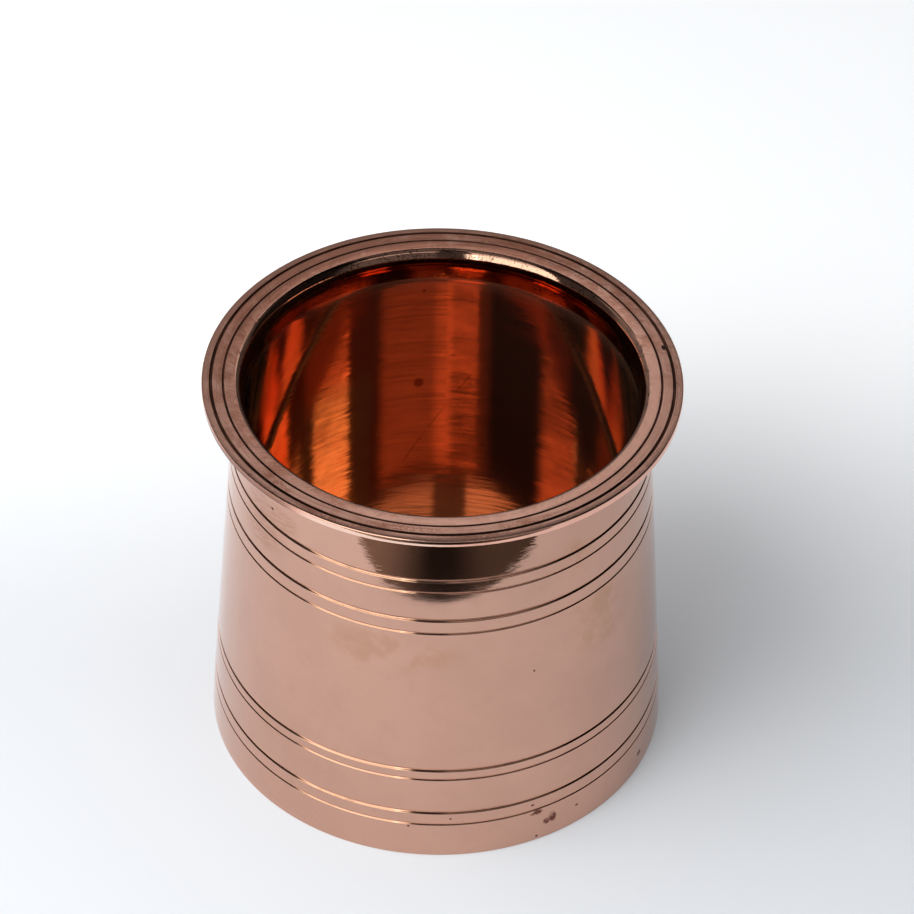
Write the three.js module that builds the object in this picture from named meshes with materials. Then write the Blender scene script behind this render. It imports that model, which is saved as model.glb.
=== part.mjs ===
// A panchpatra: an open copper water cup for household ritual.
// The wall widens down to the foot, draws in to a short neck and turns out into a flat rim.
// Wall, lip and rim are one sheet. A flat base disc is set up inside the foot and brazed in.
// Units are millimetres, +Z is up, and the origin is the centre of the foot on the table.

import * as THREE from 'three';

// Overall sizes
const CUP_HEIGHT = 82.4;
const RIM_RADIUS = 45;
const FOOT_RADIUS = 44.3;
const NECK_RADIUS = 39.1;

// Wall
const SHEET = 2.1;
const NECK_DROP = 6.6; // from the rim's top down to where the neck meets the tapered wall
const SHOULDER_BLEND = 0.6; // half the height over which the neck runs into the taper
const WALL_CROWN = 0.16; // outward bow of the taper at its middle
const FOOT_EDGE_RADIUS = 0.25;

// Rim
const RIM_THICKNESS = 1.5;
const RIM_TOP_EDGE_RADIUS = 0.4;
const RIM_LOWER_EDGE_RADIUS = 0.55;
const UNDER_RIM_FILLET = 0.8;
const LIP_WIDTH = 1.75; // the polished lip is a quarter ellipse from the rim's flat into the mouth
const LIP_DEPTH = 4.2;

// Turned grooves: each pair round the wall is a wide groove with a thin one below it
const WIDE_GROOVE_WIDTH = 0.85;
const WIDE_GROOVE_DEPTH = 0.3;
const THIN_GROOVE_WIDTH = 0.6;
const THIN_GROOVE_DEPTH = 0.2;
const COLLAR_PAIR_DROP = 14.9; // from the rim's top
const COLLAR_PAIR_SPACING = 2.8;
const SHOULDER_PAIR_DROP = 24.1; // from the rim's top
const SHOULDER_PAIR_SPACING = 3.1;
const BELLY_PAIR_RISE = 21.7; // from the foot
const BELLY_PAIR_SPACING = 2.3;
const FOOT_PAIR_RISE = 11; // from the foot
const FOOT_PAIR_SPACING = 3;

// Grooves in the rim's flat, measured in from the rim's edge
const OUTER_RIM_GROOVE_INSET = 1.7;
const OUTER_RIM_GROOVE_WIDTH = 0.9;
const OUTER_RIM_GROOVE_DEPTH = 0.35;
const INNER_RIM_GROOVE_INSET = 4;
const INNER_RIM_GROOVE_WIDTH = 0.55;
const INNER_RIM_GROOVE_DEPTH = 0.25;

// Base
const BASE_THICKNESS = 2.1;
const BASE_RECESS = 3.4; // from the table up to the disc's underside
const BRAZE_LEG = 1.6; // reach of the braze fillet up the wall and in over the disc
const SEAT_GAP = 0.3; // clearance between the wall, the disc and the braze

// Fineness of the round forms
const SEGMENTS = 64; // a multiple of four keeps the cup alike along X and Y
const GROOVE_STEPS = 4;
const LIP_STEPS = 8;
const EDGE_STEPS = 3;
const BLEND_STEPS = 3;
const WALL_STEP = 14; // longest straight run up the tapered wall
const FILLET_STEPS = 4;

const SHOULDER_HEIGHT = CUP_HEIGHT - NECK_DROP;

// Outer radius of the wall at a height: a slightly bowed taper up to the neck.
function wallRadius(height) {
  if (height >= SHOULDER_HEIGHT) {
    return NECK_RADIUS;
  }
  const share = height / SHOULDER_HEIGHT;
  const taper = THREE.MathUtils.lerp(FOOT_RADIUS, NECK_RADIUS, share);
  return taper + 4 * WALL_CROWN * share * (1 - share);
}

// A point on the wall, set in from its outer face by a depth.
function wallPoint(height, depth) {
  return new THREE.Vector2(wallRadius(height) - depth, height);
}

// A point on the rim's flat, by its distance in from the rim's edge, cut down by a depth.
function rimPoint(inset, depth) {
  return new THREE.Vector2(RIM_RADIUS - inset, CUP_HEIGHT - depth);
}

// The rounded section of one groove, cut into whichever surface pointAt describes.
function groove(pointAt, middle, width, depth) {
  const points = [];
  for (let step = 0; step <= GROOVE_STEPS; step++) {
    const across = (2 * step) / GROOVE_STEPS - 1;
    const cut = depth * (1 - across * across);
    points.push(pointAt(middle + (across * width) / 2, cut));
  }
  return points;
}

// Points round part of an ellipse, from one angle to another, both ends included.
function arc(centre, acrossRadius, upRadius, from, to, steps) {
  const points = [];
  for (let step = 0; step <= steps; step++) {
    const angle = THREE.MathUtils.lerp(from, to, step / steps);
    const across = acrossRadius * Math.cos(angle);
    const up = upRadius * Math.sin(angle);
    points.push(new THREE.Vector2(centre.x + across, centre.y + up));
  }
  return points;
}

// Plain stretch of the tapered wall between two heights, without its two end points.
function taperedRun(from, to, depth) {
  const count = Math.max(1, Math.ceil(Math.abs(to - from) / WALL_STEP));
  const points = [];
  for (let step = 1; step < count; step++) {
    points.push(wallPoint(THREE.MathUtils.lerp(from, to, step / count), depth));
  }
  return points;
}

// The soft turn between taper and neck, from the lower end to the upper one.
function shoulderBlend(depth) {
  const curve = new THREE.QuadraticBezierCurve(
    wallPoint(SHOULDER_HEIGHT - SHOULDER_BLEND, depth),
    wallPoint(SHOULDER_HEIGHT, depth),
    wallPoint(SHOULDER_HEIGHT + SHOULDER_BLEND, depth),
  );
  return curve.getPoints(BLEND_STEPS);
}

// Heights of the wall's grooves from the foot up, each with its width and depth.
function wallGrooves() {
  const pairs = [
    { wide: FOOT_PAIR_RISE, spacing: FOOT_PAIR_SPACING },
    { wide: BELLY_PAIR_RISE, spacing: BELLY_PAIR_SPACING },
    { wide: CUP_HEIGHT - SHOULDER_PAIR_DROP, spacing: SHOULDER_PAIR_SPACING },
    { wide: CUP_HEIGHT - COLLAR_PAIR_DROP, spacing: COLLAR_PAIR_SPACING },
  ];
  return pairs.flatMap((pair) => [
    { middle: pair.wide - pair.spacing, width: THIN_GROOVE_WIDTH, depth: THIN_GROOVE_DEPTH },
    { middle: pair.wide, width: WIDE_GROOVE_WIDTH, depth: WIDE_GROOVE_DEPTH },
  ]);
}

// Outside of the wall from the foot's rounded edge up to the neck, with its eight grooves.
function outerWall() {
  const edgeCentre = wallPoint(FOOT_EDGE_RADIUS, FOOT_EDGE_RADIUS);
  const points = arc(edgeCentre, FOOT_EDGE_RADIUS, FOOT_EDGE_RADIUS, -Math.PI / 2, 0, EDGE_STEPS);
  let reached = FOOT_EDGE_RADIUS;
  for (const cut of wallGrooves()) {
    points.push(...taperedRun(reached, cut.middle - cut.width / 2, 0));
    points.push(...groove(wallPoint, cut.middle, cut.width, cut.depth));
    reached = cut.middle + cut.width / 2;
  }
  return [...points, ...shoulderBlend(0)];
}

// Underside, edge and flat top of the rim, ending where the lip starts.
function rim() {
  const filletCentre = new THREE.Vector2(
    NECK_RADIUS + UNDER_RIM_FILLET,
    CUP_HEIGHT - RIM_THICKNESS - UNDER_RIM_FILLET,
  );
  const lowerCentre = new THREE.Vector2(
    RIM_RADIUS - RIM_LOWER_EDGE_RADIUS,
    CUP_HEIGHT - RIM_THICKNESS + RIM_LOWER_EDGE_RADIUS,
  );
  const topCentre = new THREE.Vector2(
    RIM_RADIUS - RIM_TOP_EDGE_RADIUS,
    CUP_HEIGHT - RIM_TOP_EDGE_RADIUS,
  );
  const quarter = Math.PI / 2;
  return [
    ...arc(filletCentre, UNDER_RIM_FILLET, UNDER_RIM_FILLET, Math.PI, quarter, EDGE_STEPS),
    ...arc(lowerCentre, RIM_LOWER_EDGE_RADIUS, RIM_LOWER_EDGE_RADIUS, -quarter, 0, EDGE_STEPS),
    ...arc(topCentre, RIM_TOP_EDGE_RADIUS, RIM_TOP_EDGE_RADIUS, 0, quarter, EDGE_STEPS),
    ...groove(rimPoint, OUTER_RIM_GROOVE_INSET, OUTER_RIM_GROOVE_WIDTH, OUTER_RIM_GROOVE_DEPTH),
    ...groove(rimPoint, INNER_RIM_GROOVE_INSET, INNER_RIM_GROOVE_WIDTH, INNER_RIM_GROOVE_DEPTH),
  ];
}

// The lip's quarter ellipse, down into the mouth, and the inside of the wall to the foot.
function lipAndInnerWall() {
  const mouthRadius = NECK_RADIUS - SHEET;
  const lipCentre = new THREE.Vector2(mouthRadius + LIP_WIDTH, CUP_HEIGHT - LIP_DEPTH);
  const blend = shoulderBlend(SHEET).reverse();
  return [
    ...arc(lipCentre, LIP_WIDTH, LIP_DEPTH, Math.PI / 2, Math.PI, LIP_STEPS),
    ...blend,
    ...taperedRun(SHOULDER_HEIGHT - SHOULDER_BLEND, 0, SHEET),
    wallPoint(0, SHEET),
  ];
}

// Turns a closed section round the Z axis into one solid.
function turned(section) {
  const closed = [...section, section[0].clone()];
  const geometry = new THREE.LatheGeometry(closed, SEGMENTS);
  geometry.rotateX(Math.PI / 2);
  return geometry;
}

// A disc that fits inside the tapered wall, its edge following the taper. Its own base is z = 0.
function baseDiscGeometry() {
  const lowerRadius = wallRadius(BASE_RECESS) - SHEET - SEAT_GAP;
  const upperRadius = wallRadius(BASE_RECESS + BASE_THICKNESS) - SHEET - SEAT_GAP;
  const section = [
    new THREE.Vector2(0, 0),
    new THREE.Vector2(lowerRadius, 0),
    new THREE.Vector2(upperRadius, BASE_THICKNESS),
    new THREE.Vector2(0, BASE_THICKNESS),
  ];
  const geometry = new THREE.LatheGeometry(section, SEGMENTS);
  geometry.rotateX(Math.PI / 2);
  return geometry;
}

// A hollow fillet in the corner between the disc's top and the wall. Its own base is z = 0.
function baseBrazeGeometry(seatHeight) {
  const cornerRadius = wallRadius(seatHeight) - SHEET - SEAT_GAP;
  const upperRadius = wallRadius(seatHeight + BRAZE_LEG) - SHEET - SEAT_GAP;
  const scoopCentre = new THREE.Vector2(cornerRadius - BRAZE_LEG, BRAZE_LEG);
  const acrossRadius = upperRadius - scoopCentre.x;
  const scoop = arc(scoopCentre, acrossRadius, BRAZE_LEG, 0, -Math.PI / 2, FILLET_STEPS);
  return turned([new THREE.Vector2(cornerRadius, 0), ...scoop]);
}

const polishedCopper = new THREE.MeshStandardMaterial({
  name: 'polished_copper',
  color: 0xdaa893,
  roughness: 0.18,
  metalness: 1,
});
const turnedCopper = new THREE.MeshStandardMaterial({
  name: 'turned_copper',
  color: 0xd4a28b,
  roughness: 0.35,
  metalness: 1,
});
const brazeMetal = new THREE.MeshStandardMaterial({
  name: 'braze_metal',
  color: 0xdabb90,
  roughness: 0.45,
  metalness: 1,
});

// Wall, neck, lip and grooved rim, spun and turned from one sheet.
function makeWallWithRim() {
  const geometry = turned([...outerWall(), ...rim(), ...lipAndInnerWall()]);
  const mesh = new THREE.Mesh(geometry, polishedCopper);
  mesh.name = 'wall_with_rim';
  return mesh;
}

function makeBaseDisc() {
  const mesh = new THREE.Mesh(baseDiscGeometry(), turnedCopper);
  mesh.name = 'base_disc';
  mesh.position.z = BASE_RECESS;
  return mesh;
}

function makeBaseBraze() {
  const seatHeight = BASE_RECESS + BASE_THICKNESS + SEAT_GAP;
  const mesh = new THREE.Mesh(baseBrazeGeometry(seatHeight), brazeMetal);
  mesh.name = 'base_braze';
  mesh.position.z = seatHeight;
  return mesh;
}

const panchpatra = new THREE.Group();
panchpatra.name = 'panchpatra';
panchpatra.add(makeWallWithRim(), makeBaseDisc(), makeBaseBraze());

export default panchpatra;
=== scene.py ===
"""Looks for a copper panchpatra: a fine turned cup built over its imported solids, on a pale studio floor."""

import math

import bmesh
import bpy
import numpy as np
from bpy.props import FloatProperty, FloatVectorProperty, IntProperty, PointerProperty
from mathutils import Matrix, Vector


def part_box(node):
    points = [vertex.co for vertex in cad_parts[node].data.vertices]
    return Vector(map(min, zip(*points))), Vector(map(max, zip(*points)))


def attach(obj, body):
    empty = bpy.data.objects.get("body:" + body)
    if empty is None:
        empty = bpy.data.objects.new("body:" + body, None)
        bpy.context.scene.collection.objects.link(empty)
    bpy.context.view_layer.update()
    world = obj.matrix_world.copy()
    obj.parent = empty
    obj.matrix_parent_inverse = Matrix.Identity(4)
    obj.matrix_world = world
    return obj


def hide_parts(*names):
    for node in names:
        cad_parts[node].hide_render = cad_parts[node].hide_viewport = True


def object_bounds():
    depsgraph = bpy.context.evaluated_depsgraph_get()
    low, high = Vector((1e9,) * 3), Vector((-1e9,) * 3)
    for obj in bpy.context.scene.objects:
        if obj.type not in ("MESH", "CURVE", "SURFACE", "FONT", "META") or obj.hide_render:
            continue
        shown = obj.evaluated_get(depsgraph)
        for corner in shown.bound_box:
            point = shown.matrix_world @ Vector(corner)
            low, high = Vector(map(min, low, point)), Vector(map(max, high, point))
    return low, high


bl_info = {
    "name": "Copper Panchpatra",
    "version": (1, 0, 0),
    "blender": (4, 5, 0),
    "location": "View3D > Sidebar > Panchpatra",
    "description": "Builds a turned copper ritual cup and its studio stage",
    "category": "Add Mesh",
}

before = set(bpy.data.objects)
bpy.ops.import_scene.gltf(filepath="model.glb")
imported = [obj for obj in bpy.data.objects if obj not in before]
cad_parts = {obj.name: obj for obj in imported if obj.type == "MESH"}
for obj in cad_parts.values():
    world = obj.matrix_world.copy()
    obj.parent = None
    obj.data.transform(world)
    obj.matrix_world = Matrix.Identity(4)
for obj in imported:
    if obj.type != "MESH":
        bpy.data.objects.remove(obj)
CAD_LOW, CAD_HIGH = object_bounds()
DISC_LOW, DISC_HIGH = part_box("base_disc")
BRAZE_LOW, BRAZE_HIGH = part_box("base_braze")

MM = 0.001
BODY = "root"
QUARTER = math.pi / 2
TYPICAL_RADIUS = 42.0  # of the wall, in millimetres, where the materials turn lengths into angles

# The photograph's frame and the view that was fitted to it.
IMAGE_SIDE = 914
FOCAL_PIXELS = 4366.6
RIM_CENTRE_PIXEL = (442.67, 378.0)
VIEW_ELEVATION = math.radians(40.51)
VIEW_ROLL = math.radians(1.168)
VIEW_DISTANCE = 0.81505
SENSOR_WIDTH = 36.0

# The studio that the metal reflects is a round wall with a ceiling, in metres. Its lights have sides
# in degrees from the front, heights in millimetres above the table and levels where white is 1.
# Other pairs of places are where an edge starts and where it is complete, and a share scales a level.
SURROUND_RADIUS = 0.6
SURROUND_HEIGHT = 1.3
SURROUND_FACETS = 96

# The softbox at the left of the front, its dim bars and its low wing on the right.
KEY_SIDES = (-61.0, -16.5)
KEY_SOFT = 2.0
KEY_TOP = (610.0, 700.0)
KEY_LEVEL = 1.8
KEY_SHARE_ABOVE = 0.4
KEY_END = (880.0, 980.0)
KEY_SHARE_AT_END = 0.15
KEY_BARS = ((722.0, 738.0, 9.0, 0.6), (530.0, 588.0, 14.0, 0.85))  # low, high, soft edge, dimming
KEY_TINT = (0.91, 1.0, 0.93)
WING_SIDE = -11.5
WING_SOFT = 1.5
WING_TOP = (400.0, 500.0)

# The pale wall at the right of the front, which brightens upward, and the dim gap beside it.
PALE_LEFT = (3.0, 7.0)
PALE_RIGHT = (46.0, 60.0)
PALE_FOOT = (575.0, 620.0)
PALE_HEAD = (690.0, 800.0)
PALE_LEVEL = 0.52
PALE_SHARES_UP = (0.14, 1.25)
PALE_SHARE_ABOVE = 0.1
GAP_SIDES = (-15.0, 5.0)
GAP_SOFT = 2.0
GAP_HEIGHTS = (720.0, 820.0)
GAP_FADE = 60.0
GAP_LEVEL = 0.05

# The wall behind the cup, its two paler patches and its window.
BACK_LEFT = (-112.0, -97.0)
BACK_RIGHT = ((118.0, 136.0, 0.2), (169.0, 176.0, 0.8))  # edge start, edge end, share
BACK_FOOT = (550.0, 640.0)
BACK_LEVELS_UP = (0.13, 0.37)
BACK_HEAD = (650.0, 710.0)
BACK_SHARE_ABOVE = 0.02
BACK_PATCHES = (  # edge start and end, low, high, soft edge, level
    (175.0, 179.0, 650.0, 740.0, 60.0, 0.3),
    (165.0, 175.0, 588.0, 700.0, 34.0, 0.28),
)
WINDOW_SIDES = (139.0, 174.0)
WINDOW_SOFT = 2.0
WINDOW_SILL = (567.0, 579.0)
WINDOW_HEAD = (581.0, 597.0)
WINDOW_LEVEL = 1.6

# The ceiling, by its distance from the axis, and what the rest of the studio gives back.
CEILING_EDGE = (400.0, 540.0)
CEILING_LEVEL = 0.09
DARK_LEVEL = 0.05
DARK_SHARE_ABOVE = 0.25
DARK_HEAD = (760.0, 900.0)
DARKEST_SIDES = (64.0, 118.0)
DARKEST_SOFT = 8.0
DARKEST_DIMMING = 0.8

# The dark card on the floor in front: its sides in degrees from the front, and how far from the cup's
# axis it starts and ends, in metres. It starts nearest in the middle and bows away to its right end,
# and left of its corner it is cut back, no farther than at its left end.
CARD_SIDES = (-100.0, 45.5)
CARD_NEAR = 0.129
CARD_ENDS = 0.142
CARD_LEFT = 0.158
CARD_FAR = 0.3
CARD_CORNER = -22.0
CARD_CUT = 0.06
CARD_CUT_POWER = 1.5
CARD_POINTS = 59
CARD_LIFT = 0.5 * MM
CARD_FADE = 0.18
CARD_TINT = (1.0, 0.82, 0.68)
CARD_LEFT_LIGHT = (-75.0, -5.0, 0.28, 0.018)  # x where it starts and ends, and the level at each
CARD_RIGHT_LIGHT = (10.0, 60.0, 0.0, 0.07)

# The pale paper that the cup stands on: its side in metres, its two colours, and the share of white
# that it adds everywhere, far from the axis and behind the cup. A lift has the place where it starts
# and ends, in millimetres, and its share at each.
PAPER_SIDE = 6.0
PAPER_FRONT = (0.77, 0.78, 0.8)
PAPER_BACK = (0.97, 0.97, 0.97)
PAPER_TURN = (0.0, 120.0)
PAPER_LIFT = 0.09
PAPER_FAR_LIFT = (300.0, 700.0, 0.0, 0.4)
PAPER_BACK_LIFT = (0.0, 150.0, 0.02, 0.26)
SKY_COLOUR = (0.32, 0.33, 0.345)

# The square lamps: name, place, side in metres, power in watts and colour.
LAMPS = (
    ("key_softbox", (-0.37, -0.47, 0.55), 0.55, 2.3, (0.94, 0.98, 1.0)),
    ("side_softbox", (-0.2, -0.12, 0.38), 0.3, 1.1, (0.96, 0.98, 1.0)),
)

# Turned details of the wall and the rim, and the seats of the disc and the braze. A groove has a
# width and a depth.
FOOT_EDGE = 0.25 * MM
UNDER_RIM_FILLET = 0.8 * MM
RIM_LOWER_EDGE = 0.25 * MM
RIM_UPPER_EDGE = 0.3 * MM
WIDE_GROOVE = (0.85 * MM, 0.3 * MM)
THIN_GROOVE = (0.6 * MM, 0.2 * MM)
GROOVE_PAIRS = (  # height of the wide groove and distance down to the thin one
    (11.0 * MM, 3.0 * MM),
    (21.7 * MM, 2.3 * MM),
    (CAD_HIGH.z - 24.1 * MM, 3.1 * MM),
    (CAD_HIGH.z - 14.9 * MM, 2.8 * MM),
)
RIM_GROOVES = ((1.7 * MM, 0.62 * MM, 0.2 * MM), (4.0 * MM, 0.42 * MM, 0.15 * MM))  # inset, width, depth
SEAT_CLEARANCE = 0.02 * MM
DISC_CENTRE = 1.0 * MM
BRAZE_GRAIN = 0.03 * MM

# How finely the turned sections follow their curves, and the point that keeps a groove's edge crisp.
PLAIN_STEP = 1.5 * MM
GROOVE_GUARD = 0.03 * MM
FOOT_EDGE_STEPS = 6
EDGE_STEPS = 8
LIP_STEPS = 24
SCOOP_STEPS = 10
INSIDE_ROWS = 60
DISC_ROWS = 20

# Places where the finishes change, in millimetres and degrees from the front. A pair holds the sides
# or heights of a patch, or where a change starts and where it is complete.
SPOT_EDGE = (0.6, 1.3)  # of a mark, as a share of its half size
BRUSHED_FROM = (62.0, 68.0)
HATCHED_SIDES = (-70.0, -32.0)
HATCHED_SOFT = 14.0
HATCHED_TOP = (14.0, 26.0)
HATCH_SPACING = 0.85
HATCH_SLANT = 0.45
RIM_TOP_FROM = (81.9, 82.3)
# Where the underside of the rim's edge takes the strongest painted shade.
RIM_UNDERSIDE = (81.1, 81.4)
FACED_FROM = (40.4, 40.9)
OUTER_BAND_FROM = (43.6, 43.9)
OUTER_LINE = (43.86, 43.92)
STAINED_BACK = (-20.0, 40.0)
STAINED_LEFT = (-5.0, -40.0)
CLEAN_RIGHT = (5.0, 38.0)
# Where the rim's edge turns to painted shade on the left, a dark reflection painted into its colour.
SHADED_EDGE_SIDES = (-41.0, -33.0)
# Where the rim's front edge carries a painted highlight.
HIGHLIGHT_EDGE_SIDES = (-30.0, -3.0)
RIM_GROOVES_FROM = (79.0, 80.0)
# Where the rim's grooves take painted shade toward the front.
SHADED_FRONT_GROOVES = (-15.0, -35.0)
POLISHED_LIP = (-14.0, 6.0)
REDDER_FROM = (8.0, 24.0)
GOLDEN_SIDES = (-157.0, -132.0)
GOLDEN_TOP = (46.0, 56.0)
NECK_FROM = (72.5, 76.5)
SCRATCH_MIDDLE = (1.0, 42.1)
SCRATCH_LEAN = math.radians(28.65)
SCRATCH_HALF_WIDTH = 0.05
SCRATCH_SOFT = 0.08
SCRATCH_RAGGED = 0.8
SCRATCH_HEIGHTS = (27.0, 57.0)

# Colours of the marks.
PIT_COLOUR = (0.16, 0.05, 0.035)
SMUDGE_COLOUR = (0.52, 0.275, 0.16)
OIL_COLOUR = (0.42, 0.2, 0.12)
# Colour of the painted highlight on the rim's front edge.
PAINTED_HIGHLIGHT_COLOUR = (1.0, 0.72, 0.58)
RUST_COLOUR = (0.4, 0.14, 0.07)
BRASSY_COLOUR = (0.85, 0.62, 0.32)
RIM_PIT_COLOUR = (0.05, 0.02, 0.015)
GOLDEN_COLOUR = (0.95, 0.97, 0.62)
NECK_STAIN_COLOUR = (0.6, 0.22, 0.14)
RED_SHARES = (0.93, 0.71, 0.7)  # of the inside's colour, where it is redder
SCRATCH_COLOUR = (0.22, 0.07, 0.04)

# Marks on the metal: azimuth in degrees from the front, place across the turning, width and height in
# millimetres. The place is a height on the walls and a radius on the rim.
PITS = (
    (26.6, 7.1, 2.6, 1.3), (29.4, 4.0, 1.4, 1.6), (31.2, 4.5, 1.6, 2.4), (26.6, 1.0, 0.6, 0.5),
    (25.5, 9.3, 0.7, 0.5), (38.6, 4.5, 0.8, 0.5), (64.4, 3.5, 1.6, 1.2), (4.2, 9.4, 0.5, 0.4),
    (-6.3, 7.3, 0.5, 0.5), (26.0, 43.1, 0.5, 0.5), (-51.4, 71.0, 0.8, 0.6),
)
SMUDGES = (
    (47.7, 48.7, 16.0, 14.0), (-12.0, 50.0, 26.0, 9.0), (40.0, 66.0, 10.0, 9.0),
    (-48.0, 20.0, 9.0, 4.0),
)
OLD_OIL = ((-56.0, 66.0, 14.0, 12.0), (-49.0, 70.0, 12.0, 5.0))
RUST = (
    (-95.0, 41.2, 26.0, 1.4), (-112.0, 41.3, 18.0, 1.6), (-25.0, 43.9, 16.0, 1.8), (-8.0, 42.2, 14.0, 1.6),
    (8.0, 43.8, 14.0, 1.4), (22.0, 42.4, 12.0, 1.8), (-45.0, 42.3, 10.0, 1.4), (160.0, 42.2, 8.0, 1.6),
)
BRASSY = ((165.8, 43.9, 1.0, 0.4), (169.0, 41.6, 0.7, 0.35))
RIM_PITS = ((103.7, 42.7, 1.5, 0.8),)
INSIDE_MARKS = ((-173.0, 48.0, 2.2, 2.6), (-174.0, 73.0, 0.7, 0.8), (168.1, 31.4, 0.8, 0.8))

# Faces of the wall take one of these finishes, in this order.
OUTSIDE, FACED, LIP, INSIDE, GROOVE = range(5)


class CupSizes(bpy.types.PropertyGroup):
    """Sizes of the cup's turned form."""

    neck_radius: FloatProperty(
        name="Neck radius", description="Outer radius of the neck", default=39.1 * MM, unit="LENGTH"
    )
    foot_radius: FloatProperty(
        name="Foot radius", description="Outer radius where the wall meets the table",
        default=44.3 * MM, unit="LENGTH",
    )
    sheet: FloatProperty(
        name="Sheet", description="Thickness of the copper wall", default=2.1 * MM, unit="LENGTH"
    )
    neck_drop: FloatProperty(
        name="Neck drop", description="From the rim's top down to the start of the taper",
        default=6.6 * MM, unit="LENGTH",
    )
    shoulder_blend: FloatProperty(
        name="Shoulder blend", description="Half the height over which neck and taper meet",
        default=0.6 * MM, unit="LENGTH",
    )
    wall_crown: FloatProperty(
        name="Wall crown", description="Outward bow of the taper at its middle",
        default=0.16 * MM, unit="LENGTH",
    )
    rim_thickness: FloatProperty(
        name="Rim thickness", description="Thickness of the flat rim at its edge",
        default=1.5 * MM, unit="LENGTH",
    )
    lip_width: FloatProperty(
        name="Lip width", description="Width of the rounded lip, from the rim's flat to the mouth",
        default=1.75 * MM, unit="LENGTH",
    )
    lip_depth: FloatProperty(
        name="Lip depth", description="Depth of the rounded lip", default=4.2 * MM, unit="LENGTH"
    )
    segments: IntProperty(
        name="Segments", description="Facets round the turned forms", default=512, min=64
    )


def colour_setting(name, description, default):
    """One colour of the finish, as a user would change it."""
    return FloatVectorProperty(
        name=name, description=description, subtype="COLOR", default=default, size=3, min=0, max=1
    )


class CupFinish(bpy.types.PropertyGroup):
    """Colours of the copper and the braze."""

    outside_colour: colour_setting("Outside", "Buffed copper of the wall", (0.63, 0.362, 0.272))
    faced_colour: colour_setting("Rim flat", "Lathe-faced copper of the rim", (0.93, 0.51, 0.39))
    tarnish_colour: colour_setting("Tarnish", "Brown tarnish on the rim", (0.62, 0.25, 0.16))
    lip_colour: colour_setting("Lip", "Polished copper of the lip", (0.8, 0.43, 0.31))
    inside_colour: colour_setting("Inside", "Burnished copper of the inside", (0.93, 0.68, 0.42))
    groove_colour: colour_setting("Grooves", "Copper in the turned grooves", (0.72, 0.37, 0.25))
    disc_colour: colour_setting("Disc", "Turned copper of the base disc", (0.88, 0.27, 0.14))
    braze_colour: colour_setting("Braze", "Yellow brazing metal", (0.6, 0.34, 0.17))


def settings():
    """The two groups of settings, as the scene holds them."""
    return bpy.context.scene.cup_sizes, bpy.context.scene.cup_finish


def wall_radius(sizes, height):
    """Outer radius of the wall at a height: a slightly bowed taper up to the straight neck."""
    shoulder = CAD_HIGH.z - sizes.neck_drop
    share = min(height / shoulder, 1.0)
    taper = sizes.foot_radius + (sizes.neck_radius - sizes.foot_radius) * share
    return taper + 4 * sizes.wall_crown * share * (1 - share)


def arc(centre, across, up, start, end, steps):
    """Points round part of an ellipse, both ends included."""
    return [
        (centre[0] + across * math.cos(a), centre[1] + up * math.sin(a))
        for a in np.linspace(start, end, steps + 1)
    ]


def groove(point_at, middle, width, depth):
    """A rounded groove with a close point outside each edge, so that its edges stay crisp.

    The points that start a face of the groove carry a third value, which marks that face."""
    points = [point_at(middle - width / 2 - GROOVE_GUARD, 0)]
    for across in np.linspace(-1, 1, EDGE_STEPS + 1):
        point = point_at(middle + across * width / 2, depth * (1 - across * across))
        points.append((*point, GROOVE) if across < 1 else point)
    points.append(point_at(middle + width / 2 + GROOVE_GUARD, 0))
    return points


def wall_grooves():
    """Middle height, width and depth of the wall's eight grooves, from the foot up."""
    grooves = []
    for middle, spacing in GROOVE_PAIRS:
        grooves += [(middle - spacing, *THIN_GROOVE), (middle, *WIDE_GROOVE)]
    return grooves


def outside_section(sizes):
    """The wall from the foot's rounded edge up to the fillet under the rim."""
    edge = FOOT_EDGE

    def wall(height, depth):
        return (wall_radius(sizes, height) - depth, height)

    def plain(start, end):
        count = max(1, math.ceil((end - start) / PLAIN_STEP))
        return [wall(h, 0) for h in np.linspace(start, end, count + 1)[1:-1]]

    points = arc((wall_radius(sizes, edge) - edge, edge), edge, edge, -QUARTER, 0, FOOT_EDGE_STEPS)
    reached = edge
    for middle, width, depth in wall_grooves():
        points += plain(reached, middle - width / 2)
        points += groove(wall, middle, width, depth)
        reached = middle + width / 2
    shoulder = CAD_HIGH.z - sizes.neck_drop
    points += plain(reached, shoulder - sizes.shoulder_blend)
    points += shoulder_curve(sizes, 0)
    fillet = UNDER_RIM_FILLET
    under = CAD_HIGH.z - sizes.rim_thickness
    points += plain(shoulder + sizes.shoulder_blend, under - fillet)
    centre = (sizes.neck_radius + fillet, under - fillet)
    points += arc(centre, fillet, fillet, math.pi, QUARTER, EDGE_STEPS)
    return points


def shoulder_curve(sizes, depth):
    """The soft turn between taper and neck, from its lower end to its upper one."""
    shoulder = CAD_HIGH.z - sizes.neck_drop
    low, high = shoulder - sizes.shoulder_blend, shoulder + sizes.shoulder_blend
    ends = [Vector((wall_radius(sizes, h) - depth, h)) for h in (low, shoulder, high)]
    return [
        tuple(ends[0].lerp(ends[1], t).lerp(ends[1].lerp(ends[2], t), t))
        for t in np.linspace(0, 1, EDGE_STEPS + 1)
    ]


def rim_section(sizes):
    """The rim's edge and flat top, with its two grooves, in to where the lip starts."""
    top, outer = CAD_HIGH.z, CAD_HIGH.x
    under = top - sizes.rim_thickness
    lower, upper = RIM_LOWER_EDGE, RIM_UPPER_EDGE

    def flat(inset, depth):
        return (outer - inset, top - depth)

    points = arc((outer - lower, under + lower), lower, lower, -QUARTER, 0, EDGE_STEPS)
    points += arc((outer - upper, top - upper), upper, upper, 0, QUARTER, EDGE_STEPS)
    for inset, width, depth in RIM_GROOVES:
        points += groove(flat, inset, width, depth)
    return points


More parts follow.
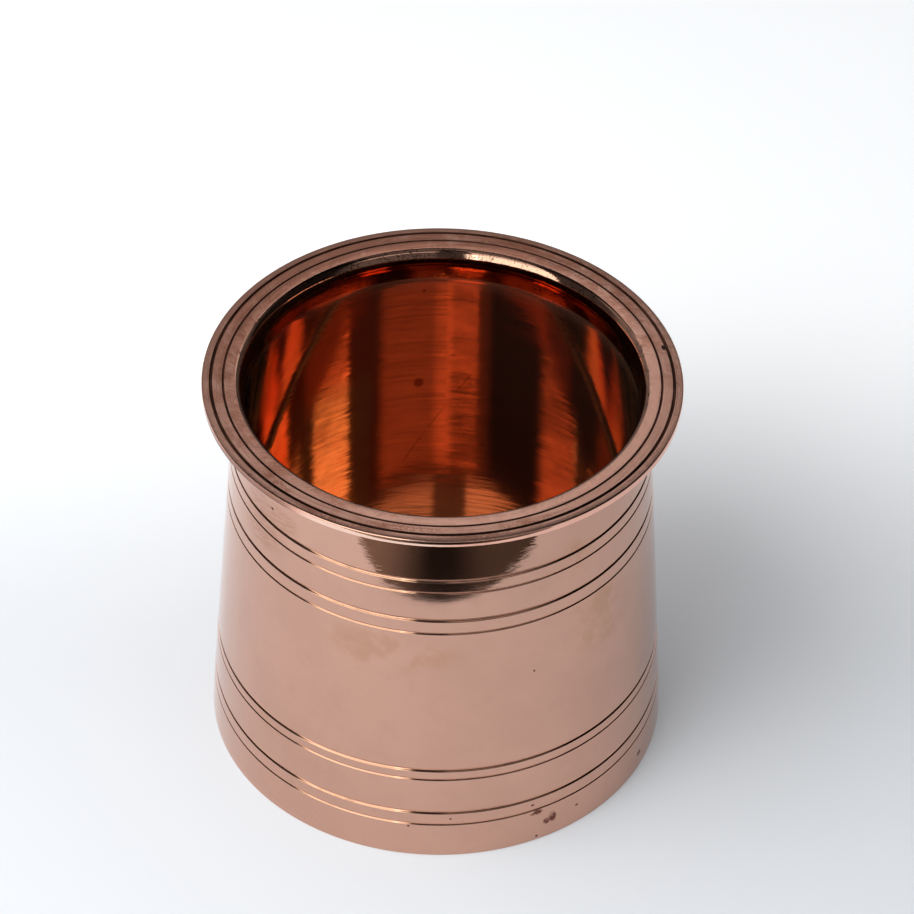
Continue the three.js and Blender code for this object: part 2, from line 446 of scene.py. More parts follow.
def lip_section(sizes):
    """The polished lip, a quarter ellipse from the rim's flat into the mouth."""
    mouth = sizes.neck_radius - sizes.sheet
    centre = (mouth + sizes.lip_width, CAD_HIGH.z - sizes.lip_depth)
    return arc(centre, sizes.lip_width, sizes.lip_depth, QUARTER, math.pi, LIP_STEPS)


def inside_section(sizes):
    """The inner wall from the lip down to the foot."""
    shoulder = CAD_HIGH.z - sizes.neck_drop
    points = shoulder_curve(sizes, sizes.sheet)[::-1]
    heights = np.linspace(shoulder - sizes.shoulder_blend, 0, INSIDE_ROWS)[1:]
    return points + [(wall_radius(sizes, h) - sizes.sheet, h) for h in heights]


def add_to_scene(name, data):
    """An object that shows a mesh, a camera or a lamp."""
    thing = bpy.data.objects.new(name, data)
    bpy.context.scene.collection.objects.link(thing)
    return thing


def revolve(name, points, segments, zones=None, closed=True):
    """A mesh object turned round the Z axis from a section of radius and height points."""
    section = np.array(points)
    angles = np.arange(segments) * (2 * math.pi / segments)
    count = len(section)
    co = np.empty((segments, count, 3))
    co[:, :, 0] = np.cos(angles)[:, None] * section[:, 0]
    co[:, :, 1] = np.sin(angles)[:, None] * section[:, 0]
    co[:, :, 2] = section[:, 1]
    spans = count if closed else count - 1
    turn, span = np.meshgrid(np.arange(segments), np.arange(spans), indexing="ij")
    next_turn, next_span = (turn + 1) % segments, (span + 1) % count
    faces = np.stack([
        turn * count + span,
        next_turn * count + span,
        next_turn * count + next_span,
        turn * count + next_span,
    ], axis=-1).reshape(-1, 4)
    mesh = bpy.data.meshes.new(name)
    mesh.from_pydata(co.reshape(-1, 3), [], faces)
    mesh.polygons.foreach_set("use_smooth", np.ones(len(faces), bool))
    if zones is not None:
        mesh.polygons.foreach_set("material_index", np.tile(np.array(zones), segments))
    mesh.update()
    return add_to_scene(name, mesh)


def camera_matrix():
    """The camera's place and turn, from the rim's pixel, the elevation, the roll and the distance."""
    middle = IMAGE_SIDE / 2
    toward_rim = Vector((
        (RIM_CENTRE_PIXEL[0] - middle) / FOCAL_PIXELS,
        (middle - RIM_CENTRE_PIXEL[1]) / FOCAL_PIXELS,
        -1.0,
    )).normalized()
    upright = Vector((math.sin(VIEW_ROLL), math.cos(VIEW_ROLL), 0.0))
    upright = (upright - toward_rim * toward_rim.dot(upright)).normalized()
    axis = upright * math.cos(VIEW_ELEVATION) - toward_rim * math.sin(VIEW_ELEVATION)
    front = (-toward_rim + axis * toward_rim.dot(axis)).normalized()
    side = axis.cross(front)
    to_world = Matrix((side, -front, axis))
    place = Vector((0, 0, CAD_HIGH.z)) - to_world @ (toward_rim * VIEW_DISTANCE)
    return Matrix.Translation(place) @ to_world.to_4x4()


class Wire:
    """A node's output that takes part in Python arithmetic: each operator adds a Math node."""

    def __init__(self, recipe, socket):
        self.recipe = recipe
        self.socket = socket

    def math(self, operation, *values):
        return self.recipe.node("ShaderNodeMath", {"operation": operation}, dict(enumerate(values)))

    def __add__(self, other):
        return self.math("ADD", self, other)

    def __sub__(self, other):
        return self.math("SUBTRACT", self, other)

    def __rsub__(self, other):
        return self.math("SUBTRACT", other, self)

    def __mul__(self, other):
        return self.math("MULTIPLY", self, other)

    def __truediv__(self, other):
        return self.math("DIVIDE", self, other)

    def __pow__(self, other):
        return self.math("POWER", self, other)

    __radd__ = __add__
    __rmul__ = __mul__


class Recipe:
    """A node tree: node() adds any node, and the other methods are short forms of it."""

    def __init__(self, owner):
        owner.use_nodes = True
        self.tree = owner.node_tree
        self.tree.nodes.clear()

    def node(self, kind, options=None, inputs=None, output=0):
        """Adds one node: its settings first, then the values or links of its sockets."""
        node = self.tree.nodes.new(kind)
        for name, value in (options or {}).items():
            setattr(node, name, value)
        for name, value in (inputs or {}).items():
            if isinstance(value, Wire):
                self.tree.links.new(value.socket, node.inputs[name])
            else:
                node.inputs[name].default_value = value
        return Wire(self, node.outputs[output]) if node.outputs else None

    def place(self):
        """X, Y and Z on the piece, in millimetres."""
        coordinates = self.node("ShaderNodeTexCoord", output=3)
        separate = {"Vector": coordinates}
        return [self.node("ShaderNodeSeparateXYZ", None, separate, axis) * (1 / MM) for axis in range(3)]

    def vector(self, x, y, z):
        return self.node("ShaderNodeCombineXYZ", None, {"X": x, "Y": y, "Z": z})

    def noise(self, vector, scale=1.0, detail=2.0, roughness=0.5):
        inputs = {"Vector": vector, "Scale": scale, "Detail": detail, "Roughness": roughness}
        return self.node("ShaderNodeTexNoise", None, inputs)

    def smooth(self, value, low, high, start=0.0, end=1.0):
        """A smooth rise from start to end while the value goes from low to high."""
        inputs = {"Value": value, "From Min": low, "From Max": high, "To Min": start, "To Max": end}
        return self.node("ShaderNodeMapRange", {"interpolation_type": "SMOOTHSTEP"}, inputs)

    def band(self, value, low, high, soft):
        """1 between low and high, falling to 0 over the soft distance outside each."""
        return self.smooth(value, low - soft, low) * self.smooth(value, high, high + soft, 1.0, 0.0)

    def mix(self, factor, first, second):
        """A mix of two colours, with the second one whole where the factor is 1."""
        inputs = {0: factor, 6: as_colour(first), 7: as_colour(second)}
        return self.node("ShaderNodeMix", {"data_type": "RGBA", "clamp_factor": True}, inputs, 2)

    def stain(self, tone, mask, colour, amount=1.0):
        """Lays a colour over a tone where the mask is 1, as strongly as the amount says."""
        return self.mix(mask * amount, tone, colour)

    def bump(self, height, distance):
        return self.node("ShaderNodeBump", None, {"Height": height, "Distance": distance})

    def metal(self, inputs):
        """The Principled shader and the output that end every metal."""
        shader = self.node("ShaderNodeBsdfPrincipled", None, {"Metallic": 1.0, **inputs})
        self.node("ShaderNodeOutputMaterial", None, {"Surface": shader})

    def glow(self, colour, strength, cover=1.0):
        """Plain light from a surface, with the rest of the surface see-through."""
        light = self.node("ShaderNodeEmission", None, {"Color": as_colour(colour), "Strength": strength})
        clear = self.node("ShaderNodeBsdfTransparent")
        shader = self.node("ShaderNodeMixShader", None, {0: cover, 1: clear, 2: light})
        self.node("ShaderNodeOutputMaterial", None, {"Surface": shader})


def as_colour(value):
    """Gives a plain colour its alpha and passes a wire on."""
    return value if isinstance(value, Wire) else (*value, 1.0)


def shade(colour, factor):
    """The colour, darker by a factor."""
    return tuple(channel * factor for channel in colour)


class Turned:
    """Where a point lies on the turned metal, in millimetres and degrees, and marks laid out from that."""

    def __init__(self, recipe):
        self.recipe = recipe
        self.x, self.y, self.z = recipe.place()
        self.radius = (self.x * self.x + self.y * self.y) ** 0.5
        self.cos = self.x / self.radius
        self.sin = self.y / self.radius
        self.azimuth = self.x.math("ARCTAN2", self.x, 0 - self.y) * (180 / math.pi)

    def streaks(self, across, length, thickness, shift=0.0, detail=2.0):
        """Noise drawn out round the axis: the length and thickness of its marks in millimetres."""
        spread = TYPICAL_RADIUS / length
        vector = self.recipe.vector(self.cos * spread, self.sin * spread, across * (1 / thickness) + shift)
        return self.recipe.noise(vector, detail=detail)

    def clouds(self, size, shift=0.0, detail=3.0):
        """Patchy noise, with patches of a size in millimetres."""
        vector = self.recipe.vector(self.x + shift, self.y, self.z)
        return self.recipe.noise(vector, scale=1 / size, detail=detail, roughness=0.6)

    def strokes(self, across, spacing, length, slant):
        """Short strokes that cross the turning at a slant, with their spacing and length in millimetres."""
        angle = self.azimuth * (math.pi / 180) + across * (slant / TYPICAL_RADIUS)
        spread = TYPICAL_RADIUS / spacing
        sideways = angle.math("SINE", angle) * spread
        vector = self.recipe.vector(sideways, angle.math("COSINE", angle) * spread, across * (1 / length))
        return self.recipe.noise(vector, detail=1.0)

    def hatching(self, across, spacing, slant):
        """Even slanted lines across the turning, with their spacing in millimetres."""
        angle = self.azimuth * (math.pi / 180) + across * (slant / TYPICAL_RADIUS)
        wave = angle.math("SINE", angle * (2 * math.pi * TYPICAL_RADIUS / spacing))
        return self.recipe.smooth(wave, -0.6, 0.8)

    def spot(self, across, azimuth, place, width, tall):
        """1 inside an oval mark, at an azimuth in degrees and a place across the turning."""
        degrees = math.degrees(1 / TYPICAL_RADIUS)
        sideways = (self.azimuth - azimuth) * (2 / (degrees * width))
        upward = (across - place) * (2 / tall)
        apart = (sideways * sideways + upward * upward) ** 0.5
        return self.recipe.smooth(apart, *SPOT_EDGE, 1.0, 0.0)

    def spots(self, across, marks):
        """1 inside any of several oval marks."""
        total = None
        for mark in marks:
            spot = self.spot(across, *mark)
            total = spot if total is None else total.math("MAXIMUM", total, spot)
        return total

    def leaning(self, rise=0.0, outward=0.0, around=0.0):
        """The surface's normal, leaned a little upward, away from the axis and round it."""
        node = self.recipe.node
        lean = self.recipe.vector(
            self.cos * outward - self.sin * around, self.sin * outward + self.cos * around, rise
        )
        normal = node("ShaderNodeNewGeometry", output="Normal")
        total = node("ShaderNodeVectorMath", {"operation": "ADD"}, {0: normal, 1: lean})
        return node("ShaderNodeVectorMath", {"operation": "NORMALIZE"}, {0: total})


def new_material(name):
    """A new material and the recipe that fills it."""
    material = bpy.data.materials.new(name)
    return material, Recipe(material)


def outside_copper(colour):
    """Buffed copper of the wall: near a mirror, with smudges, old oil, hatching, pits and buffing lines."""
    material, recipe = new_material("outside_copper")
    turned = Turned(recipe)
    z = turned.z
    clouds = turned.clouds(size=16.0, detail=4.0)
    blotches = turned.clouds(size=5.0, shift=23.0, detail=5.0)
    tone = recipe.stain(colour, recipe.smooth(clouds, 0.4, 0.65), shade(colour, 0.92), amount=0.6)
    tone = recipe.stain(tone, recipe.smooth(blotches, 0.5, 0.75), shade(colour, 0.87), amount=0.4)
    smudge = turned.spots(z, SMUDGES) * recipe.smooth(blotches, 0.38, 0.62)
    tone = recipe.stain(tone, smudge, SMUDGE_COLOUR, amount=0.5)
    runs = turned.streaks(z - turned.x * 0.3, length=3.0, thickness=0.5, shift=12.7)
    oil = turned.spots(z, OLD_OIL) * recipe.smooth(runs, 0.35, 0.65, 0.2, 1.0)
    tone = recipe.stain(tone, oil, OIL_COLOUR, amount=0.55)
    hatched = recipe.band(turned.azimuth, *HATCHED_SIDES, HATCHED_SOFT)
    hatched = hatched * recipe.smooth(z, *HATCHED_TOP, 1.0, 0.0)
    lines = turned.hatching(z, HATCH_SPACING, HATCH_SLANT)
    tone = recipe.stain(tone, lines * hatched, shade(colour, 0.82), amount=0.5)
    pits = turned.spots(z, PITS) * recipe.smooth(turned.clouds(size=0.8, shift=3.0), 0.35, 0.5)
    tone = recipe.stain(tone, pits, PIT_COLOUR)
    fine = turned.streaks(z, length=2.5, thickness=0.12)
    cross = turned.streaks(z, length=1.6, thickness=0.2, shift=5.1)
    brushed = recipe.smooth(z, *BRUSHED_FROM, 0.006, 0.036)
    recipe.metal({
        "Base Color": tone,
        "Roughness": recipe.smooth(clouds, 0.35, 0.7, 0.035, 0.06) + pits * 0.3,
        "Normal": turned.leaning(rise=(fine - 0.5) * brushed, around=(cross - 0.5) * 0.07),
    })
    return material


def faced_copper(colour, tarnish):
    """Satin copper of the rim, faced on the lathe, with chatter strokes, tarnish and specks of rust, painted
    shade on the left of its edge and a painted highlight on its front edge.
    """
    material, recipe = new_material("faced_copper")
    turned = Turned(recipe)
    radius = turned.radius
    rings = turned.streaks(radius, length=10.0, thickness=0.14)
    chatter = turned.strokes(radius, spacing=0.35, length=1.6, slant=0.9)
    speckle = turned.clouds(size=0.22, shift=9.0, detail=2.0)
    patches = turned.clouds(size=4.0, detail=4.0)
    flat = recipe.smooth(radius, *FACED_FROM)
    satin = recipe.smooth(turned.z, *RIM_TOP_FROM)
    back = recipe.smooth(turned.y, *STAINED_BACK)
    left = recipe.smooth(turned.x, *STAINED_LEFT)
    right = recipe.smooth(turned.x, *CLEAN_RIGHT)
    stained = recipe.smooth(patches + back * 0.25 + left * 0.1 - right * 0.12, 0.42, 0.8)
    stained = stained * recipe.smooth(radius, *OUTER_BAND_FROM, 1.0, 0.3)
    tone = recipe.stain(colour, stained, tarnish, amount=0.8)
    scored = recipe.smooth(chatter, 0.5, 0.68) * recipe.smooth(patches, 0.38, 0.6) * flat
    tone = recipe.stain(tone, scored, shade(tarnish, 0.7), amount=0.16)
    tone = recipe.stain(tone, recipe.smooth(rings, 0.52, 0.72), shade(tarnish, 0.75), amount=0.12)
    tone = recipe.stain(tone, (1 - flat) * left, shade(tarnish, 0.6), amount=0.35)
    edge = 1 - satin
    # Painted shade: the rim's edge on the left is darkened to stand in for a dark reflection.
    painted_shade_edge = edge * recipe.smooth(turned.azimuth, *SHADED_EDGE_SIDES, 1.0, 0.0)
    tone = recipe.stain(tone, painted_shade_edge, shade(tarnish, 0.4), amount=0.8)
    # Painted highlight: the front of the rim's edge is made paler to stand in for a bright reflection.
    painted_highlight = edge * recipe.band(turned.azimuth, *HIGHLIGHT_EDGE_SIDES, 6.0)
    tone = recipe.stain(tone, painted_highlight, PAINTED_HIGHLIGHT_COLOUR, amount=0.7)
    # Painted shade: the underside of that edge is darkened further.
    underside = recipe.smooth(turned.z, *RIM_UNDERSIDE, 1.0, 0.0)
    tone = recipe.stain(tone, painted_shade_edge * underside, shade(tarnish, 0.15))
    rust = turned.spots(radius, RUST) * recipe.smooth(speckle + patches * 0.3, 0.5, 0.8)
    tone = recipe.stain(tone, rust, RUST_COLOUR, amount=0.7)
    tone = recipe.stain(tone, turned.spots(radius, BRASSY), BRASSY_COLOUR)
    tone = recipe.stain(tone, turned.spots(radius, RIM_PITS), RIM_PIT_COLOUR)
    line = recipe.band(radius, *OUTER_LINE, 0.05) * recipe.smooth(patches, 0.42, 0.55)
    tone = recipe.stain(tone, line, shade(tarnish, 0.35), amount=0.6)
    normal = turned.leaning(outward=satin * (rings - 0.5) * 0.1, around=satin * (chatter - 0.5) * 0.1)
    rough = 0.06 + satin * (0.08 + rings * 0.08 + flat * 0.03)
    recipe.metal({"Base Color": tone, "Roughness": rough, "Normal": normal})
    return material


def groove_copper(colour, tarnish):
    """Copper of the turned grooves: bright on the wall, dark in the rim, and darker still at the rim's front
    as painted shade.
    """
    material, recipe = new_material("groove_copper")
    turned = Turned(recipe)
    grime = turned.streaks(turned.z + turned.radius, length=5.0, thickness=0.5, detail=3.0)
    tone = recipe.stain(colour, recipe.smooth(grime, 0.5, 0.7), shade(colour, 0.5), amount=0.5)
    rim = recipe.smooth(turned.z, *RIM_GROOVES_FROM)
    dark = recipe.mix(recipe.smooth(grime, 0.4, 0.6), shade(tarnish, 0.45), shade(tarnish, 0.2))
    # Painted shade: the rim's grooves are darkened further at the front, where they would catch a reflection.
    dark = recipe.stain(dark, recipe.smooth(turned.y, *SHADED_FRONT_GROOVES), shade(tarnish, 0.08), amount=0.75)
    recipe.metal({
        "Base Color": recipe.stain(tone, rim, dark), "Roughness": 0.09 + rim * 0.25,
        "Normal": turned.leaning(rise=(grime - 0.5) * 0.04),
    })
    return material


def lip_copper(colour, satin):
    """Polished copper of the lip, speckled with dark pinpricks, and duller at the front."""
    material, recipe = new_material("lip_copper")
    turned = Turned(recipe)
    specks = turned.clouds(size=0.35, detail=4.0)
    grain = turned.streaks(turned.z - turned.radius, length=2.0, thickness=0.25)
    polish = recipe.smooth(turned.y, *POLISHED_LIP)
    tone = recipe.mix(polish, shade(satin, 0.75), colour)
    blotched = recipe.smooth(turned.clouds(size=6.0, shift=31.0), 0.42, 0.6) * 0.1
    pinpricks = recipe.smooth(specks + blotched, 0.58, 0.68)
    tone = recipe.stain(tone, pinpricks, shade(colour, 0.12), amount=0.8)
    recipe.metal({
        "Base Color": tone, "Roughness": 0.06 + (1 - polish) * 0.14,
        "Normal": turned.leaning(rise=(grain - 0.5) * 0.05, around=(specks - 0.5) * 0.06),
    })
    return material


def inside_scratch(recipe, turned, ragged, patchy):
    """1 along the faint slanting scratch at the back of the inside, broken up by two noises."""
    sideways = (turned.x - SCRATCH_MIDDLE[0]) * math.cos(SCRATCH_LEAN)
    upward = (turned.z - SCRATCH_MIDDLE[1]) * math.sin(SCRATCH_LEAN)
    across = sideways - upward + (ragged - 0.5) * SCRATCH_RAGGED
    scratch = recipe.band(across, -SCRATCH_HALF_WIDTH, SCRATCH_HALF_WIDTH, SCRATCH_SOFT)
    scratch = scratch * recipe.band(turned.z, *SCRATCH_HEIGHTS, 2.0)
    return scratch * recipe.smooth(turned.y, 0.0, 1.0) * recipe.smooth(patchy + ragged, 0.85, 1.0)


def inside_copper(colour):
    """Burnished copper of the inside: redder from low down up to the neck, with turning lines."""
    material, recipe = new_material("inside_copper")
    turned = Turned(recipe)
    z = turned.z
    lines = turned.streaks(z, length=12.0, thickness=0.35)
    short = turned.streaks(z - turned.x * 0.15, length=6.0, thickness=0.17, shift=3.7)
    broad = turned.streaks(z, length=25.0, thickness=2.2, shift=9.4)
    clouds = turned.clouds(size=8.0, shift=11.0)
    red = tuple(channel * share for channel, share in zip(colour, RED_SHARES))
    tone = recipe.stain(colour, recipe.smooth(z, *REDDER_FROM), red)
    golden = recipe.band(turned.azimuth, *GOLDEN_SIDES, 4.0) * recipe.smooth(z, *GOLDEN_TOP, 1.0, 0.0)
    tone = recipe.stain(tone, golden, GOLDEN_COLOUR)
    tone = recipe.stain(tone, recipe.smooth(clouds, 0.42, 0.7), shade(red, 0.85), amount=0.4)
    tone = recipe.stain(tone, recipe.smooth(lines, 0.52, 0.7), shade(red, 0.7), amount=0.2)
    tone = recipe.stain(tone, recipe.smooth(short, 0.5, 0.7), shade(red, 0.65), amount=0.3)
    neck = recipe.smooth(z, *NECK_FROM)
    specks = turned.clouds(size=0.5, shift=7.0, detail=4.0)
    tone = recipe.stain(tone, neck * recipe.smooth(specks, 0.4, 0.6), NECK_STAIN_COLOUR, amount=0.3)
    scratch = inside_scratch(recipe, turned, short, clouds)
    marks = scratch.math("MAXIMUM", scratch, turned.spots(z, INSIDE_MARKS))
    tone = recipe.stain(tone, marks, SCRATCH_COLOUR, amount=0.75)
    rise = (lines - 0.5) * 0.045 + (broad - 0.5) * 0.02
    recipe.metal({
        "Base Color": tone, "Metallic": 0.988 - neck * 0.033,
        "Roughness": 0.05 + recipe.smooth(broad, 0.4, 0.7) * 0.03 + neck * 0.04,
        "Normal": turned.leaning(rise=rise, around=(short - 0.5) * 0.055),
    })
    return material


def disc_copper(colour):
    """Turned copper of the base disc, with fine rings and a soft sweep across them."""
    material, recipe = new_material("disc_copper")
    turned = Turned(recipe)
    rings = turned.streaks(turned.radius, length=18.0, thickness=0.3)
    sweep = turned.strokes(turned.radius, spacing=1.2, length=14.0, slant=6.0)
    clouds = turned.clouds(size=8.0)
    tone = recipe.stain(colour, recipe.smooth(clouds, 0.42, 0.7), shade(colour, 0.85), amount=0.5)
    tone = recipe.stain(tone, recipe.smooth(rings, 0.5, 0.75), shade(colour, 0.75), amount=0.3)
    recipe.metal({
        "Base Color": tone, "Roughness": 0.06 + rings * 0.05,
        "Normal": turned.leaning(outward=(sweep - 0.5) * 0.03, around=(rings - 0.5) * 0.03),
    })
    return material


def braze_metal(colour):
    """Yellow brazing metal, a little rough and stained."""
    material, recipe = new_material("braze_metal")
    turned = Turned(recipe)
    clouds = turned.clouds(size=2.0, shift=5.0, detail=4.0)
    recipe.metal({
        "Base Color": recipe.stain(colour, recipe.smooth(clouds, 0.4, 0.7), shade(colour, 0.6)),
        "Roughness": 0.3 + clouds * 0.2,
        "Normal": recipe.bump(clouds, BRAZE_GRAIN),
    })
    return material


class CUP_OT_wall(bpy.types.Operator):
    """Build the copper wall with its neck, lip and grooved rim"""

    bl_idname = "mesh.cup_wall"
    bl_label = "Wall and Rim"

    def execute(self, context):
        sizes, finish = settings()
        parts = [outside_section(sizes), rim_section(sizes), lip_section(sizes), inside_section(sizes)]
        points, zones = [], []
        for zone, part in zip((OUTSIDE, FACED, LIP, INSIDE), parts):
            points += [point[:2] for point in part]
            zones += [GROOVE if len(point) > 2 else zone for point in part]
        piece = revolve("copper_wall_and_rim", points, sizes.segments, zones)
        for material in (
            outside_copper(finish.outside_colour),
            faced_copper(finish.faced_colour, finish.tarnish_colour),
            lip_copper(finish.lip_colour, finish.faced_colour),
            inside_copper(finish.inside_colour),
            groove_copper(finish.groove_colour, finish.tarnish_colour),
        ):
            piece.data.materials.append(material)
        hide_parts("wall_with_rim")
        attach(piece, BODY)
        return {"FINISHED"}


def disc_edge(sizes, height):
    """Radius at which the base disc meets the inside of the wall, at a height."""
    return wall_radius(sizes, height) - sizes.sheet - SEAT_CLEARANCE


class CUP_OT_disc(bpy.types.Operator):
    """Build the turned disc that closes the bottom"""

    bl_idname = "mesh.cup_disc"
    bl_label = "Base Disc"

    def execute(self, context):
        sizes, finish = settings()
        low, high = DISC_LOW.z, DISC_HIGH.z
        lower = [(r, low) for r in np.linspace(DISC_CENTRE, disc_edge(sizes, low), DISC_ROWS)]
        upper = [(r, high) for r in np.linspace(disc_edge(sizes, high), DISC_CENTRE, DISC_ROWS)]
        section = [(0.0, low), *lower, *upper, (0.0, high)]
        piece = revolve("copper_base_disc", section, sizes.segments, closed=False)
        piece.data.materials.append(disc_copper(finish.disc_colour))
        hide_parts("base_disc")
        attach(piece, BODY)
        return {"FINISHED"}


class CUP_OT_braze(bpy.types.Operator):
    """Build the braze fillet that seals the disc to the wall"""

    bl_idname = "mesh.cup_braze"
    bl_label = "Braze"

    def execute(self, context):
        sizes, finish = settings()
        leg = BRAZE_HIGH.z - BRAZE_LOW.z
        seat = DISC_HIGH.z + SEAT_CLEARANCE
        corner = disc_edge(sizes, DISC_HIGH.z) - SEAT_CLEARANCE
        scoop = arc((corner - leg, seat + leg), leg, leg, 0, -QUARTER, SCOOP_STEPS)
        piece = revolve("braze_fillet", [(corner, seat), *scoop], sizes.segments)
        piece.data.materials.append(braze_metal(finish.braze_colour))
        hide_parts("base_braze")
        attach(piece, BODY)
        return {"FINISHED"}


def soft_lamp(name, place, side, power, colour):
    """A square soft lamp at a place, turned to the cup, that mirrors don't show."""
    data = bpy.data.lights.new(name, "AREA")
    data.shape = "RECTANGLE"
    data.size, data.size_y = side, side
    data.energy = power
    data.color = colour
    lamp = add_to_scene(name, data)
    lamp.location = place
    lamp.rotation_euler = (-Vector(place)).to_track_quat("-Z", "Y").to_euler()
    lamp.visible_glossy = False


def reflected_only(card):
    """Makes a card of the studio show in the metal's reflections and nowhere else."""
    card.visible_camera = False
    card.visible_diffuse = False
    card.visible_transmission = False
    card.visible_shadow = False


def key_light(recipe, azimuth, z):
    """The softbox at the left of the front, dimmed by two bars, with a low wing on its right."""
    key = recipe.band(azimuth, *KEY_SIDES, KEY_SOFT) * recipe.smooth(z, *KEY_TOP, 1.0, KEY_SHARE_ABOVE)
    key = key * recipe.smooth(z, *KEY_END, 1.0, KEY_SHARE_AT_END)
    for low, high, soft, dimming in KEY_BARS:
        key = key * (1 - recipe.band(z, low, high, soft) * dimming)
    wing = recipe.band(azimuth, KEY_SIDES[1], WING_SIDE, WING_SOFT)
    return key + wing * recipe.smooth(z, *WING_TOP, 1.0, 0.0)


def pale_light(recipe, azimuth, z):
    """The pale wall at the right of the front, and the dim gap between it and the softbox."""
    pale = recipe.smooth(azimuth, *PALE_LEFT) * recipe.smooth(azimuth, *PALE_RIGHT, 1.0, 0.0)
    pale = pale * recipe.smooth(z, *PALE_FOOT, *PALE_SHARES_UP)
    pale = pale * recipe.smooth(z, *PALE_HEAD, 1.0, PALE_SHARE_ABOVE)
    gap = recipe.band(azimuth, *GAP_SIDES, GAP_SOFT) * recipe.band(z, *GAP_HEIGHTS, GAP_FADE)
    return pale * PALE_LEVEL + gap * GAP_LEVEL


def back_light(recipe, azimuth, z):
    """The dim wall behind the cup, with two paler patches straight behind it and a window."""
    wall = recipe.smooth(azimuth, *BACK_LEFT, 1.0, 0.0)
    for start, end, share in BACK_RIGHT:
        wall = wall + recipe.smooth(azimuth, start, end, 0.0, share)
    wall = wall * recipe.smooth(z, *BACK_FOOT, *BACK_LEVELS_UP)
    light = wall * recipe.smooth(z, *BACK_HEAD, 1.0, BACK_SHARE_ABOVE)
    behind = azimuth.math("ABSOLUTE", azimuth)
    for start, end, low, high, soft, level in BACK_PATCHES:
        light = light + recipe.smooth(behind, start, end) * recipe.band(z, low, high, soft) * level
    window = recipe.band(azimuth, *WINDOW_SIDES, WINDOW_SOFT) * recipe.smooth(z, *WINDOW_SILL)
    return light + window * recipe.smooth(z, *WINDOW_HEAD, 1.0, 0.0) * WINDOW_LEVEL


def dark_light(recipe, azimuth, z):
    """What the rest of the studio gives back: less up high, and least at the right."""
    dark = recipe.smooth(z, *DARK_HEAD, DARK_LEVEL, DARK_LEVEL * DARK_SHARE_ABOVE)
    return dark * (1 - recipe.band(azimuth, *DARKEST_SIDES, DARKEST_SOFT) * DARKEST_DIMMING)


def surround():
    """The dark studio round the cup, with its lights, as the metal reflects it."""
    mesh = bpy.data.meshes.new("studio_surround")
    piece = add_to_scene("studio_surround", mesh)
    form = bmesh.new()
    bmesh.ops.create_cone(
        form, cap_ends=True, segments=SURROUND_FACETS, radius1=SURROUND_RADIUS,
        radius2=SURROUND_RADIUS, depth=SURROUND_HEIGHT,
        matrix=Matrix.Translation((0, 0, SURROUND_HEIGHT / 2)),
    )
    bottom = [face for face in form.faces if face.calc_center_median().z < MM]
    bmesh.ops.delete(form, geom=bottom, context="FACES")
    form.to_mesh(mesh)
    form.free()
    material, recipe = new_material("surround_cards")
    x, y, z = recipe.place()
    azimuth = x.math("ARCTAN2", x, 0 - y) * (180 / math.pi)
    key = key_light(recipe, azimuth, z)
    ceiling = recipe.smooth((x * x + y * y) ** 0.5, *CEILING_EDGE, 1.0, 0.0) * CEILING_LEVEL
    walls = pale_light(recipe, azimuth, z) + back_light(recipe, azimuth, z)
    light = key * KEY_LEVEL + ceiling + walls + dark_light(recipe, azimuth, z)
    recipe.glow(recipe.mix(key, (1.0, 1.0, 1.0), KEY_TINT), light)
    mesh.materials.append(material)
    reflected_only(piece)


def floor_card():
    """The dark stretch in front of the pale sheet that the cup stands on, as the metal reflects it."""
    sides = np.radians(np.linspace(*CARD_SIDES, CARD_POINTS))
    bow = (CARD_ENDS - CARD_NEAR) / sides[-1] ** 2
    corner = math.radians(CARD_CORNER)

    def reach(side):
        cut = CARD_CUT * max(0.0, corner - side) ** CARD_CUT_POWER
        return min(CARD_NEAR + bow * side * side + cut, CARD_LEFT)

    inner = [(reach(side), side) for side in sides]
    outer = [(CARD_FAR, side) for side in sides[::-1]]
    outline = [(r * math.sin(side), -r * math.cos(side), CARD_LIFT) for r, side in inner + outer]
    mesh = bpy.data.meshes.new("dark_floor_card")
    mesh.from_pydata(outline, [], [tuple(range(len(outline)))])
    piece = add_to_scene("dark_floor_card", mesh)
    material, recipe = new_material("dark_card")
    x, y, z = recipe.place()
    cover = recipe.smooth((x * x + y * y) ** 0.5, CARD_FADE / MM, CARD_FAR / MM, 1.0, 0.0)
    recipe.glow(CARD_TINT, recipe.smooth(x, *CARD_LEFT_LIGHT) + recipe.smooth(x, *CARD_RIGHT_LIGHT), cover)
    mesh.materials.append(material)
    reflected_only(piece)


def floor_paper():
    """Matt pale paper, lifted towards white for the camera, for mirrors and through glass alike."""
    material, recipe = new_material("floor_paper")
    x, y, z = recipe.place()
    paper = recipe.mix(recipe.smooth(y, *PAPER_TURN), PAPER_FRONT, PAPER_BACK)
    far = recipe.smooth((x * x + y * y) ** 0.5, *PAPER_FAR_LIFT)
    lift = far.math("MAXIMUM", far, recipe.smooth(y, *PAPER_BACK_LIFT)) + PAPER_LIFT
    seen = recipe.node("ShaderNodeLightPath", output="Is Camera Ray")
    for ray in ("Is Glossy Ray", "Is Transmission Ray"):
        seen = seen.math("MAXIMUM", seen, recipe.node("ShaderNodeLightPath", output=ray))
    matt = recipe.node("ShaderNodeBsdfDiffuse", None, {"Color": paper})
    white = recipe.node("ShaderNodeEmission", None, {"Color": (1.0, 1.0, 1.0, 1.0), "Strength": seen * lift})
    shader = recipe.node("ShaderNodeAddShader", None, {0: matt, 1: white})
    recipe.node("ShaderNodeOutputMaterial", None, {"Surface": shader})
    return material


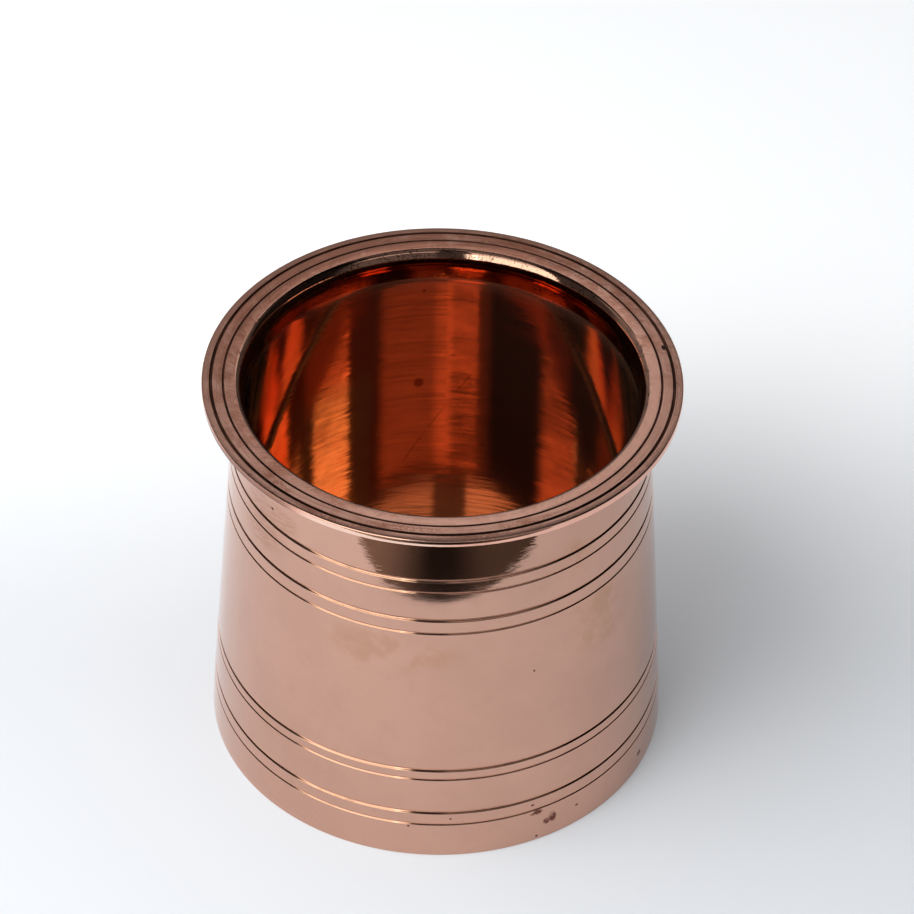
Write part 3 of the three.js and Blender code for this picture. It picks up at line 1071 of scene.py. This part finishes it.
def photo_camera():
    """The camera, with the lens and the place that were fitted to the photograph."""
    data = bpy.data.cameras.new("photo_camera")
    data.sensor_width = SENSOR_WIDTH
    data.lens = FOCAL_PIXELS / IMAGE_SIDE * SENSOR_WIDTH
    camera = add_to_scene("photo_camera", data)
    camera.matrix_world = camera_matrix()
    bpy.context.scene.camera = camera


def studio_world():
    """A plain pale world, which lights the floor evenly."""
    world = bpy.data.worlds.new("studio_world")
    bpy.context.scene.world = world
    recipe = Recipe(world)
    sky = recipe.node("ShaderNodeBackground", None, {"Color": as_colour(SKY_COLOUR), "Strength": 1.0})
    recipe.node("ShaderNodeOutputWorld", None, {"Surface": sky})


class CUP_OT_stage(bpy.types.Operator):
    """Set up the pale floor, the soft lamps, the studio's reflections and the camera"""

    bl_idname = "scene.cup_stage"
    bl_label = "Studio Stage"

    def execute(self, context):
        context.scene.view_settings.view_transform = "Standard"
        photo_camera()
        bpy.ops.mesh.primitive_plane_add(size=PAPER_SIDE)
        floor = context.object
        floor.name = "studio_floor"
        floor.data.materials.append(floor_paper())
        surround()
        floor_card()
        for name, place, side, power, colour in LAMPS:
            soft_lamp(name, place, side, power, colour)
        studio_world()
        return {"FINISHED"}


class CUP_PT_panel(bpy.types.Panel):
    """Sidebar panel that lists the cup's settings and its building steps"""

    bl_idname = "CUP_PT_panel"
    bl_label = "Panchpatra"
    bl_space_type = "VIEW_3D"
    bl_region_type = "UI"
    bl_category = "Panchpatra"

    def draw(self, context):
        layout = self.layout
        for group in settings():
            for name in group.__annotations__:
                layout.prop(group, name)
        for operator in OPERATORS:
            layout.operator(operator.bl_idname)


OPERATORS = (CUP_OT_wall, CUP_OT_disc, CUP_OT_braze, CUP_OT_stage)
CLASSES = (CupSizes, CupFinish, *OPERATORS, CUP_PT_panel)


def register():
    for cls in CLASSES:
        bpy.utils.register_class(cls)
    bpy.types.Scene.cup_sizes = PointerProperty(type=CupSizes)
    bpy.types.Scene.cup_finish = PointerProperty(type=CupFinish)


def unregister():
    del bpy.types.Scene.cup_finish
    del bpy.types.Scene.cup_sizes
    for cls in reversed(CLASSES):
        bpy.utils.unregister_class(cls)


def main():
    register()
    bpy.ops.mesh.cup_wall()
    bpy.ops.mesh.cup_disc()
    bpy.ops.mesh.cup_braze()
    bpy.ops.scene.cup_stage()


if __name__ == "__main__":
    main()
